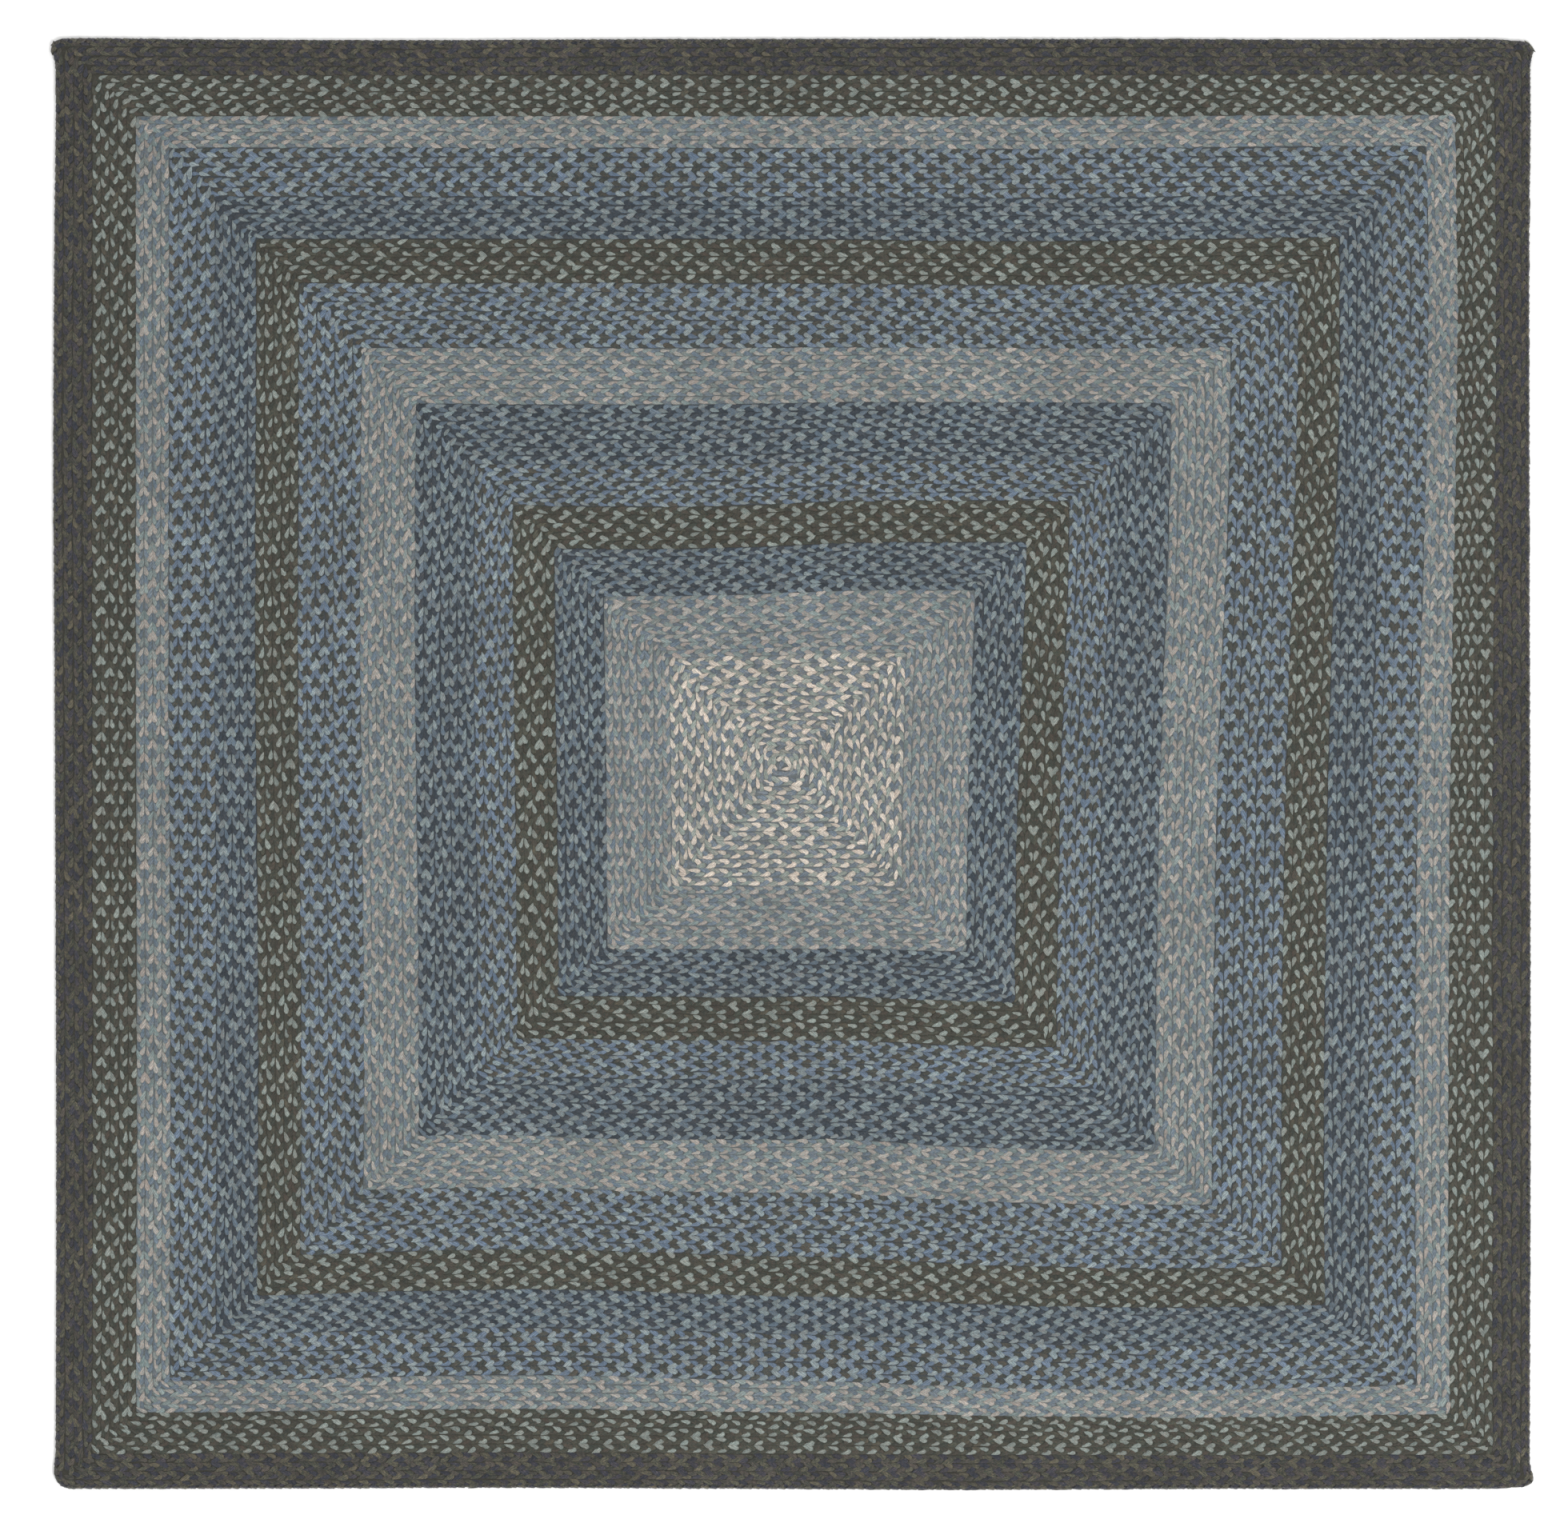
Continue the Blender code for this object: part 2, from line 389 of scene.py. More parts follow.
def stitchTurn(tree, given, tangent, row):
    # turned along the row, rolled, and a little uneven, as hand braiding is
    along = addNode(
        tree, "FunctionNodeAlignRotationToVector", {"Vector": tangent}, axis="X", pivot_axis="Z"
    )
    backwards = [-angle for angle in handwork["turns"]]
    uneven = addNode(
        tree,
        "FunctionNodeRandomValue",
        {"Min": backwards, "Max": handwork["turns"], "Seed": 7},
        data_type="FLOAT_VECTOR",
    )
    uneven = addNode(
        tree, "ShaderNodeVectorMath", {0: uneven, "Scale": given["Unevenness"]}, operation="SCALE"
    )
    ownPlace = addNode(tree, "ShaderNodeMath", (row, handwork["rowsApart"]), operation="MULTIPLY")
    runLength = addNode(tree, "GeometryNodeSplineParameter").outputs["Length"]
    ownPlace = addNode(tree, "ShaderNodeCombineXYZ", (runLength, ownPlace))
    lean = addNode(
        tree, "ShaderNodeTexNoise", {"Vector": ownPlace, "Scale": handwork["leans"], "Detail": 1.0}
    )
    lean = addNode(tree, "ShaderNodeMapRange", (lean, 0.0, 1.0, -1.0, 1.0))
    roll = addNode(tree, "ShaderNodeMath", (lean, given["Lean"], given["Roll"]), operation="MULTIPLY_ADD")
    roll = addNode(tree, "ShaderNodeCombineXYZ", (roll,))
    uneven = addNode(tree, "ShaderNodeVectorMath", (uneven, roll), operation="ADD")
    return addNode(tree, "FunctionNodeRotateRotation", {0: along, 1: uneven}, rotation_space="LOCAL")


def stitchSize(tree, given):
    # uneven too, and drawn to the row's pitch and width
    grown = addNode(
        tree,
        "FunctionNodeRandomValue",
        {"Min": handwork["smallest"], "Max": handwork["biggest"], "Seed": 9},
        data_type="FLOAT_VECTOR",
    )
    longer, wider = (
        addNode(tree, "ShaderNodeMath", (given[wanted], stitch[usual] * mm), operation="DIVIDE")
        for wanted, usual in (("Stitch pitch", "pitch"), ("Row width", "rowWidth"))
    )
    drawn = addNode(tree, "ShaderNodeCombineXYZ", (longer, wider, 1.0))
    return addNode(tree, "ShaderNodeVectorMath", (grown, drawn), operation="MULTIPLY")


def withOwnPlace(tree, braid):
    # the yarn's map over each stitch, moved and shrunk to the stitch's own place
    local, tile = (
        addNode(tree, "GeometryNodeInputNamedAttribute", {"Name": name}, data_type="FLOAT_VECTOR")
        for name in ("OFBake", "tile")
    )
    moved = addNode(tree, "ShaderNodeVectorMath", (local, tile), operation="ADD")
    moved = addNode(tree, "ShaderNodeVectorMath", {0: moved, "Scale": 1 / mapTiles}, operation="SCALE")
    braid = addNode(
        tree,
        "GeometryNodeStoreNamedAttribute",
        {"Geometry": braid, "Name": "OFBake", "Value": moved},
        data_type="FLOAT2",
        domain="CORNER",
    )
    return addNode(tree, "GeometryNodeRemoveAttribute", {"Geometry": braid, "Name": "tile"})


def braidTree():
    tree = bpy.data.node_groups.new("braid along rows", "GeometryNodeTree")
    given = braidInputs(tree)
    isRow = addNode(tree, "GeometryNodeInputSplineCyclic")
    tangent = addNode(tree, "GeometryNodeInputTangent")
    place = addNode(tree, "GeometryNodeInputPosition")

    # whole colour repeats in each row: two columns of stitches and three strands make six
    repeats = addNode(tree, "GeometryNodeInputCurveTilt")
    count = addNode(tree, "ShaderNodeMath", (repeats, 6.0, 0.5), operation="MULTIPLY_ADD")
    count = addNode(
        tree, "GeometryNodeSwitch", {"Switch": isRow, "False": 2.0, "True": count}, input_type="FLOAT"
    )
    points = addNode(tree, "GeometryNodeResampleCurve", {"Curve": given["Rows"], "Count": count})
    points = swayed(tree, given, points, tangent, place)

    # every other point is a stitch of the inner column, half a colour repeat away
    number = addNode(tree, "GeometryNodeSplineParameter").outputs["Index"]
    isInner = addNode(tree, "ShaderNodeMath", (number, 2.0), operation="MODULO")
    isOuter = addNode(tree, "ShaderNodeMath", (1.0, isInner), operation="SUBTRACT")
    stitchNumber = addNode(tree, "ShaderNodeMath", (number, 0.5), operation="MULTIPLY")
    stitchNumber = addNode(tree, "ShaderNodeMath", (stitchNumber,), operation="FLOOR")

    # a corner's line isn't closed: only its first point gets a stitch, of a strand drawn by lot
    row = addNode(tree, "GeometryNodeCurveOfPoint").outputs["Curve Index"]
    isSpot = addNode(tree, "ShaderNodeMath", (1.0, isRow), operation="SUBTRACT")
    lot = addNode(
        tree, "FunctionNodeRandomValue", {"Min": 0, "Max": 2, "ID": row, "Seed": 13}, data_type="INT"
    )
    stitchNumber = addNode(tree, "ShaderNodeMath", (lot, isSpot, stitchNumber), operation="MULTIPLY_ADD")
    strand = addNode(tree, "ShaderNodeMath", (isInner, 2.0, stitchNumber), operation="MULTIPLY_ADD")
    strand = addNode(tree, "ShaderNodeMath", (strand, 3.0), operation="MODULO")
    isInner = addNode(tree, "ShaderNodeMath", (isInner, isRow), operation="MULTIPLY")
    points = addNode(
        tree,
        "GeometryNodeStoreNamedAttribute",
        {"Geometry": points, "Name": "tile", "Value": mapPlace(tree, strand, place)},
        data_type="FLOAT_VECTOR",
        domain="POINT",
    )

    # the outer column's stitches are longer where the row turns, and the inner one's shorter
    turn = stitchTurn(tree, given, tangent, row)
    drawn = stitchSize(tree, given)
    stretch = addNode(tree, "GeometryNodeInputRadius")
    shrink = addNode(tree, "ShaderNodeMath", (2.0, stretch), operation="SUBTRACT")
    columns = []
    for picked, leaf, bend in ((isOuter, "Outer stitch", stretch), (isInner, "Inner stitch", shrink)):
        bent = addNode(tree, "ShaderNodeCombineXYZ", (bend, 1.0, 1.0))
        size = addNode(tree, "ShaderNodeVectorMath", (drawn, bent), operation="MULTIPLY")
        shape = addNode(tree, "GeometryNodeObjectInfo", {"Object": given[leaf]}).outputs["Geometry"]
        columns.append(
            addNode(
                tree,
                "GeometryNodeInstanceOnPoints",
                {"Points": points, "Selection": picked, "Instance": shape, "Rotation": turn, "Scale": size},
            )
        )
    braid = addNode(tree, "GeometryNodeJoinGeometry")
    for column in columns:
        tree.links.new(column.outputs[0], braid.inputs[0])
    lift = addNode(tree, "ShaderNodeCombineXYZ", {"Z": given["Rim height"]})
    braid = addNode(
        tree,
        "GeometryNodeTranslateInstances",
        {"Instances": braid, "Translation": lift, "Local Space": False},
    )
    braid = addNode(tree, "GeometryNodeRealizeInstances", (braid,))
    braid = withOwnPlace(tree, braid)
    braid = addNode(tree, "GeometryNodeSetShadeSmooth", {"Geometry": braid})
    braid = addNode(tree, "GeometryNodeSetMaterial", {"Geometry": braid, "Material": given["Yarn"]})
    addNode(tree, "NodeGroupOutput", (braid,))
    return tree


# The three strands of each braid: the yarn's colour and those of two kinds of fleck spun into it.
strands = {
    "oliveNavy": [
        ("#605E50", "#6D6453", "#383F38"),
        ("#504D47", "#605750", "#343A34"),
        ("#3A3B46", "#544E52", "#2B323B"),
    ],
    "oliveSage": [
        ("#525247", "#5D5446", "#3B443D"),
        ("#4B4940", "#574C43", "#373F39"),
        ("#959D96", "#908F87", "#818E8A"),
    ],
    "roseSlate": [
        ("#B8ABA2", "#A49C95", "#9DA29D"),
        ("#8B9896", "#979690", "#798C8C"),
        ("#727F8A", "#7E8182", "#637684"),
    ],
    "paleRoseSlate": [
        ("#B9ACA4", "#A69E97", "#9FA39E"),
        ("#8D9A98", "#999892", "#7B8E8E"),
        ("#73808B", "#7F8283", "#657786"),
    ],
    "olivePeriwinkle": [
        ("#50514B", "#5B5348", "#3C4544"),
        ("#718195", "#79838D", "#607388"),
        ("#95A1A3", "#8F9392", "#7F9197"),
    ],
    "navySteel": [
        ("#3D4650", "#515152", "#323D46"),
        ("#6A7985", "#747A7C", "#5C6E7E"),
        ("#8B9898", "#8A8B8B", "#7A8B90"),
    ],
    "creamSlate": [
        ("#E0D2C4", "#D1BFB0", "#CCC6BB"),
        ("#9AA29B", "#A6A097", "#889790"),
        ("#78838D", "#888786", "#697986"),
    ],
}

noiseRange = (0.3, 0.7)  # where nearly all of a noise texture's values lie

yarn = {
    "plies": 4.0,  # yarns that lie side by side across a strand's place on the map
    "twist": -0.5,  # how far they slant along it, outwards
    "waver": 0.3,  # how far they stray from a straight line, over the place's width
    "plyTop": 0.9,  # share of a yarn's height above which its tone stays the same
    "streakLength": 3.6,  # mm, of the flecks that were spun in
    "streakWidth": 1.6,
    "fleckAt": (0.5, 0.8),  # strength of a streak where a fleck begins, and where it is full
    "mood": 0.2,  # how much the share of the flecks differs from stitch to stitch
    "placesApart": (7.3, 3.7),  # mm, how far the noises move from one place of the map to the next
    "patch": 3.4,  # mm, between darker and lighter patches of the yarn
    "fibre": 1.0,  # mm between the fibres that show, drawn coarser than the real ones
    "fibreSlimness": 0.35,  # their width over their length
    "fibreRelief": 0.5,  # over that of the furrows
    "relief": 0.8,  # mm, how deep the furrows between the yarns are
    "darkest": 0.66,  # tone of the darkest stitches
    "lightest": 0.995,
    "furrow": (0.66, 1.09),  # tones of painted shade at the bottom of a furrow, and of painted light on top of a yarn
    "fibreTone": (0.85, 1.15),
    "patchTone": (0.84, 1.16),
    "middle": 1.03,  # painted light: tone along a strand's middle line
    "side": 0.88,  # and painted shade at its sides
    "sideShadeAt": (0.2, 0.44),  # where they begin and are full, from that line, over the width
    "end": 0.8,  # painted shade: tone of the end that comes up from under the next strand
    "endShadeAt": (0.02, 0.16),  # where it is full and where it stops, over the length
    "fuzz": 0.7,  # how thickly the next strands' stray fibres cover a stitch at its edges
    "fuzzAt": (0.33, 0.46),  # where they begin and are full, as for the sides
    "fuzzShade": 0.7,  # painted shade: tone of the three strands' colours mixed in the fuzz
    "ragged": 0.26,  # how far the line where a strand goes under strays, over its width
    "roughness": 0.92,
    "specular": 0.25,
    "sheen": 0.15,
    "sheenRoughness": 0.6,
}


def newMaterial(name, roughness):
    material = bpy.data.materials.new(name)
    material.use_nodes = True
    shader = material.node_tree.nodes["Principled BSDF"]
    shader.inputs["Roughness"].default_value = roughness
    return material, shader


def yarnSurface(tree, shader, colour, height, relief):
    # the shader takes the colour, and a bump that is so many millimetres high
    tree.links.new(colour.outputs[0], shader.inputs["Base Color"])
    bump = addNode(tree, "ShaderNodeBump", {"Height": height, "Distance": relief * mm})
    tree.links.new(bump.outputs[0], shader.inputs["Normal"])


def fromMiddle(tree, value):
    # how far a value between 0 and 1 is from one half
    value = addNode(tree, "ShaderNodeMath", (value, 0.5), operation="SUBTRACT")
    return addNode(tree, "ShaderNodeMath", (value,), operation="ABSOLUTE")


def strandShades(tree, strand, colours):
    # the strand's own yarn colour, by its number, and those of its flecks where they are given
    strand = addNode(tree, "ShaderNodeMath", (strand, 1 / 3, 1 / 6), operation="MULTIPLY_ADD")
    shades = []
    for hexColours in zip(*colours):
        ramp = addNode(tree, "ShaderNodeValToRGB", (strand,))
        ramp.color_ramp.interpolation = "CONSTANT"
        ramp.color_ramp.elements[1].position = 1 / 3
        ramp.color_ramp.elements.new(2 / 3)
        for element, hexColour in zip(ramp.color_ramp.elements, hexColours):
            element.color = linear(hexColour)
        shades.append(ramp)
    return shades


def braidedYarn(name, colours):
    # Wool-blend yarn, spun from dyed and undyed fibres and braided: matt and soft, with streaks of
    # other shades, painted shade in the furrows between the yarns of a strand, and painted shade where a
    # strand goes under.
    material, shader = newMaterial("braided wool-blend yarn, " + name, yarn["roughness"])
    tree = material.node_tree
    shader.inputs["Specular IOR Level"].default_value = yarn["specular"]
    shader.inputs["Sheen Weight"].default_value = yarn["sheen"]
    shader.inputs["Sheen Roughness"].default_value = yarn["sheenRoughness"]

    place = addNode(tree, "ShaderNodeUVMap", uv_map="OFBake")
    place = addNode(tree, "ShaderNodeVectorMath", {0: place, "Scale": mapTiles}, operation="SCALE")
    tile = addNode(tree, "ShaderNodeVectorMath", (place,), operation="FLOOR")
    tile = addNode(tree, "ShaderNodeSeparateXYZ", (tile,))
    local = addNode(tree, "ShaderNodeVectorMath", (place,), operation="FRACTION")
    local = addNode(tree, "ShaderNodeSeparateXYZ", (local,))
    along, across = local.outputs["X"], local.outputs["Y"]
    strand = addNode(tree, "ShaderNodeMath", (tile.outputs["Y"], 3.0), operation="MODULO")
    colour, *flecks = strandShades(tree, strand, colours)

    # the fibres run along the stitch, and lie differently in each place of the map
    apartX, apartY = yarn["placesApart"]
    other = addNode(tree, "ShaderNodeMath", (tile.outputs["X"], apartX), operation="MULTIPLY")
    other = addNode(tree, "ShaderNodeMath", (tile.outputs["Y"], apartY, other), operation="MULTIPLY_ADD")
    lengthMm = addNode(tree, "ShaderNodeMath", (along, stitch["length"]), operation="MULTIPLY")
    widthMm = addNode(tree, "ShaderNodeMath", (across, stitch["width"]), operation="MULTIPLY")
    widthMm = addNode(
        tree, "ShaderNodeMath", (lengthMm, yarn["twist"] / 2, widthMm), operation="MULTIPLY_ADD"
    )
    streakAlong = addNode(
        tree, "ShaderNodeMath", (lengthMm, yarn["streakWidth"] / yarn["streakLength"]), operation="MULTIPLY"
    )
    streakPlace = addNode(tree, "ShaderNodeCombineXYZ", (streakAlong, widthMm, other))
    streaks = addNode(
        tree,
        "ShaderNodeTexNoise",
        {"Vector": streakPlace, "Scale": 1 / yarn["streakWidth"], "Detail": 1.0},
    ).outputs["Color"]
    streaks = addNode(tree, "ShaderNodeSeparateColor", (streaks,))
    mood = addNode(tree, "ShaderNodeTexWhiteNoise", (other,), noise_dimensions="1D").outputs["Color"]
    mood = addNode(tree, "ShaderNodeSeparateColor", (mood,))
    patchPlace = addNode(tree, "ShaderNodeCombineXYZ", (lengthMm, widthMm, other))
    patch = addNode(
        tree, "ShaderNodeTexNoise", {"Vector": patchPlace, "Scale": 1 / yarn["patch"], "Detail": 2.0}
    )
    fibrePlace = addNode(tree, "ShaderNodeMath", (lengthMm, yarn["fibreSlimness"]), operation="MULTIPLY")
    fibrePlace = addNode(tree, "ShaderNodeCombineXYZ", (fibrePlace, widthMm, other))
    fibres = addNode(
        tree, "ShaderNodeTexNoise", {"Vector": fibrePlace, "Scale": 1 / yarn["fibre"], "Detail": 2.0}
    )

    # furrows between the yarns of the strand: painted shade at their bottoms, painted light on the yarns'
    # tops, and a bump
    waver = addNode(tree, "ShaderNodeMath", (patch, yarn["waver"], across), operation="MULTIPLY_ADD")
    waver = addNode(tree, "ShaderNodeMath", (along, yarn["twist"], waver), operation="MULTIPLY_ADD")
    plies = addNode(tree, "ShaderNodeMath", (waver, yarn["plies"] * math.pi), operation="MULTIPLY")
    for operation in ("SINE", "ABSOLUTE"):
        plies = addNode(tree, "ShaderNodeMath", (plies,), operation=operation)
    furrows = addNode(tree, "ShaderNodeMapRange", (plies, 0.0, yarn["plyTop"], *yarn["furrow"]))

    # the strand's sides and its ends go under the next stitches, at a ragged line: painted shade darkens
    # them there, and the middle line is painted a little lighter
    ragged = addNode(
        tree,
        "ShaderNodeMath",
        (streaks.outputs["Blue"], yarn["ragged"], -yarn["ragged"] / 2),
        operation="MULTIPLY_ADD",
    )
    side = addNode(tree, "ShaderNodeMath", (fromMiddle(tree, across), ragged), operation="ADD")
    fuzzAndShadeMix = addNode(tree, "ShaderNodeMapRange", (side, *yarn["fuzzAt"], 0.0, yarn["fuzz"]))
    side = addNode(tree, "ShaderNodeMapRange", (side, *yarn["sideShadeAt"], yarn["middle"], yarn["side"]))
    end = addNode(tree, "ShaderNodeMath", (along, ragged), operation="ADD")
    end = addNode(tree, "ShaderNodeMapRange", (end, *yarn["endShadeAt"], yarn["end"], 1.0))

    tone = addNode(
        tree,
        "ShaderNodeMapRange",
        (tile.outputs["X"], 0.0, mapTiles - 1.0, yarn["darkest"], yarn["lightest"]),
    )
    grain = addNode(tree, "ShaderNodeMapRange", (fibres, *noiseRange, *yarn["fibreTone"]))
    mottle = addNode(tree, "ShaderNodeMapRange", (patch, *noiseRange, *yarn["patchTone"]))
    for part in (furrows, side, end, grain, mottle):
        tone = addNode(tree, "ShaderNodeMath", (tone, part), operation="MULTIPLY")

    # flecks in the yarn's colour, and the strands' colours mixed in the fuzz at the edges, darkened there as
    # painted shade
    for fleck, channel in zip(flecks, ("Red", "Green")):
        share = addNode(
            tree,
            "ShaderNodeMath",
            (mood.outputs[channel], yarn["mood"], streaks.outputs[channel]),
            operation="MULTIPLY_ADD",
        )
        share = addNode(tree, "ShaderNodeMapRange", (share, *yarn["fleckAt"], 0.0, 1.0))
        colour = addNode(
            tree, "ShaderNodeMix", {"Factor": share, "A": colour, "B": fleck}, data_type="RGBA"
        )
    mains = [linear(trio[0]) for trio in colours]
    mixed = [sum(channel) / len(mains) * yarn["fuzzShade"] for channel in zip(*mains)]
    colour = addNode(
        tree, "ShaderNodeMix", {"Factor": fuzzAndShadeMix, "A": colour, "B": mixed}, data_type="RGBA"
    )
    colour = addNode(tree, "ShaderNodeHueSaturation", {"Color": colour, "Value": tone})

    height = addNode(tree, "ShaderNodeMath", (fibres, yarn["fibreRelief"], plies), operation="MULTIPLY_ADD")
    yarnSurface(tree, shader, colour, height, yarn["relief"])
    return material


tree = braidTree()
outerStitch = stitchObject("outer_stitch", 1)
innerStitch = stitchObject("inner_stitch", -1)
yarns = {name: braidedYarn(name, colours) for name, colours in strands.items()}


def rugPiece(name, mesh):
    piece = addObject(name, mesh)
    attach(piece, "root")
    return piece


def braided(name, lines, sizes, yarnName):
    # lays the stitches along the lines, and gives the result as a plain mesh
    rows = rowCurve(name + "_rows", lines)
    modifier = rows.modifiers.new("braid", "NODES")
    modifier.node_group = tree
    values = {"Outer stitch": outerStitch, "Inner stitch": innerStitch, "Yarn": yarns[yarnName], **sizes}
    for item in tree.interface.items_tree:
        if item.in_out == "INPUT" and item.name in values:
            modifier[item.identifier] = values[item.name]
    bpy.context.view_layer.update()
    evaluated = rows.evaluated_get(bpy.context.evaluated_depsgraph_get())
    mesh = bpy.data.meshes.new_from_object(evaluated)
    mesh.materials.clear()
    mesh.materials.append(yarns[yarnName])
    bpy.data.objects.remove(rows)
    return rugPiece(name, mesh)


# How a row lies, and how the outermost one does, which is laced more evenly.
usualRow = {
    "Roll": 0.0,  # radians
    "Lean": 0.3,  # radians that a stretch of it rolls to one side at most
    "Sway": 1.6 * mm,
    "Unevenness": 1.0,  # share of the turns that handwork gives
}
outermostRow = {**usualRow, "Lean": 0.1, "Unevenness": 0.4}
outermostSlack = 1.8  # mm, how much narrower its stitches are than the room they have

for band, innerBand in zip(bands, bands[1:]):
    name, yarnName, rows, halfWidth, halfDepth = band[:5]
    outermost = band == bands[0]
    width = (halfWidth - innerBand[3] + halfDepth - innerBand[4]) / 2 / rows
    sizes = {
        "Stitch pitch": band[7] * mm,
        "Row width": (width - outermostSlack if outermost else width) * mm,
        "Rim height": stitch["rimHeight"] * mm,
        **(outermostRow if outermost else usualRow),
    }
    piece = braided(name, bandLines(band, innerBand), sizes, yarnName)
    print(name, len(piece.data.polygons), "faces")

# The eye, where the braid starts: its strands are curled up by hand.
eyeStitches = [
    # across, back to front, direction of the tip in degrees, length, width, height, strand, tone
    (-5.0, 0.5, -64, 1.35, 0.95, 0.9, 0, 7),
    (-18.5, 10.0, 36, 0.85, 0.85, 0.8, 0, 7),
    (-10.5, -8.3, 188, 0.75, 0.8, 0.9, 0, 6),
    (-28.6, -4.6, 118, 0.7, 0.6, 0.6, 0, 6),
    (5.0, -2.6, -92, 0.9, 0.8, 0.8, 0, 7),
    (-20.5, -3.0, 75, 0.8, 1.1, -0.6, 2, 4),
    (-16.5, 2.0, 60, 0.8, 1.0, -0.4, 2, 5),
    (1.0, -14.5, 205, 1.0, 1.0, 0.0, 2, 7),
    (-10.0, -16.5, 184, 1.1, 1.0, 0.3, 2, 8),
    (-21.0, -15.5, 174, 1.1, 1.0, 0.0, 2, 6),
    (-30.5, -12.0, 140, 1.0, 1.0, 0.2, 2, 8),
    (-30.0, 8.5, 86, 1.1, 1.1, 0.4, 1, 8),
    (-25.5, 15.5, 20, 0.9, 0.9, 0.0, 1, 6),
    (-12.0, 15.0, 4, 1.0, 0.9, 0.0, 1, 8),
    (-2.0, 13.0, -15, 1.0, 1.0, 0.2, 2, 7),
    (7.5, 9.5, -60, 1.05, 1.0, 0.2, 1, 7),
    (0.5, 6.0, -70, 1.0, 0.9, 0.0, 1, 8),
    (10.5, -8.5, -95, 1.0, 1.0, 0.0, 1, 8),
    (-1.0, -9.0, -110, 0.8, 0.8, 0.0, 1, 6),
    (-12.5, 5.5, -50, 0.8, 0.8, -0.2, 1, 5),
    (14.0, 1.0, -92, 0.9, 0.7, 0.1, 0, 6),
]

eyeStitchHeight = 0.9  # over that of the other stitches


def curledEye():
    shape = bmesh.new()
    toAxis = Matrix.Rotation(-math.radians(stitch["axis"]), 4, "Z")
    toMiddle = Matrix.Translation([-part * mm for part in stitch["middle"]] + [0])
    for x, y, direction, length, width, height, strand, tone in eyeStitches:
        pointsBefore, facesBefore = len(shape.verts), len(shape.faces)
        shape.from_mesh(outerStitch.data)
        shape.verts.ensure_lookup_table()
        shape.faces.ensure_lookup_table()
        place = Matrix.Translation((x * mm, y * mm, (stitch["rimHeight"] + height) * mm))
        turn = Matrix.Rotation(math.radians(direction), 4, "Z")
        size = Matrix.Diagonal((length, width, eyeStitchHeight, 1))
        for point in shape.verts[pointsBefore:]:
            point.co = place @ turn @ size @ toAxis @ toMiddle @ point.co
        layer = shape.loops.layers.uv["OFBake"]
        for face in shape.faces[facesBefore:]:
            face.smooth = True
            for loop in face.loops:
                loop[layer].uv = (loop[layer].uv + Vector((tone, strand))) / mapTiles
    mesh = bpy.data.meshes.new("eye")
    shape.to_mesh(mesh)
    shape.free()
    mesh.materials.append(yarns["creamSlate"])
    return rugPiece("eye", mesh)


curledEye()
print("eye", len(eyeStitches), "stitches")

# The same braid, seen from its side, round the rug's edge.
edge = {
    "inset": 2.1,  # from the rug's outer edge
    "width": 9.6,  # of the side of a braid, from its underside to its top
    "height": 5.9,  # from the floor to its middle
    "turn": 14,  # radius of its corners
    "stretch": 0.7,  # of its stitches there
    "unevenness": 0.5,
}
edgeRing = (rug["halfWidth"] - edge["inset"], rug["halfDepth"] - edge["inset"], 0, 0)
edgeLine = ringLine(edgeRing, edge["turn"], edge["stretch"])
sizes = {
    "Stitch pitch": stitch["pitch"] * mm,
    "Row width": edge["width"] * mm,
    "Rim height": edge["height"] * mm,
    "Roll": -math.pi / 2,  # on its side
    "Lean": 0.0,
    "Sway": 0.0,
    "Unevenness": edge["unevenness"],
}
edgeLines = [(wholeRepeats(edgeRing, stitch["pitch"]), edgeLine)]
edgePiece = braided("edge_side", edgeLines, sizes, "oliveNavy")
print("edge_side", len(edgePiece.data.polygons), "faces")
for template in (outerStitch, innerStitch):
    bpy.data.objects.remove(template)


core = {
    "inset": 5,  # from the rug's outer edge, so that it stays hidden in the outermost braid
    "low": 0.05,  # from the floor to its underside
    "high": 7.1,  # and to its top, just under the braids' grooves
    "steps": 24,  # straight pieces in each side
    "arcSteps": 2,  # and in each corner
    "fibre": 2,  # between the fibres that show, drawn coarser than the real ones
    "roughness": 0.95,
    "innerTone": (0.61, 1.04),  # tones of the fibres in the grooves
    "innerRelief": 0.5,
    "underTone": (0.7, 1.0),  # and of those of the underside
    "underRelief": 1.5,
    "slant": 1.1,  # stitches that a strand passes on its way across half a row underneath
    "groove": 0.45,  # painted shade: tone of the underside between the rows
    "grooveAt": (0.36, 0.5),  # where it begins and is full, from a row's middle line
    "gap": 0.6,  # and painted shade between the stitches
    "gapAt": (0.34, 0.5),
}


def coreFibres(tree, place):
    noise = {"Vector": place, "Scale": 1 / (core["fibre"] * mm), "Detail": 2.0}
    return addNode(tree, "ShaderNodeTexNoise", noise)


def innerYarn(name, hexColour):
    # Yarn inside the braids, seen only in the grooves: matt, with its colour darkened as painted shade,
    # because little light gets there.
    material, shader = newMaterial("wool-blend yarn in painted shade, " + name, core["roughness"])
    tree = material.node_tree
    fibres = coreFibres(tree, addNode(tree, "ShaderNodeTexCoord").outputs["Object"])
    tone = addNode(tree, "ShaderNodeMapRange", (fibres, *noiseRange, *core["innerTone"]))
    colour = addNode(tree, "ShaderNodeHueSaturation", {"Color": linear(hexColour), "Value": tone})
    yarnSurface(tree, shader, colour, fibres, core["innerRelief"])
    return material


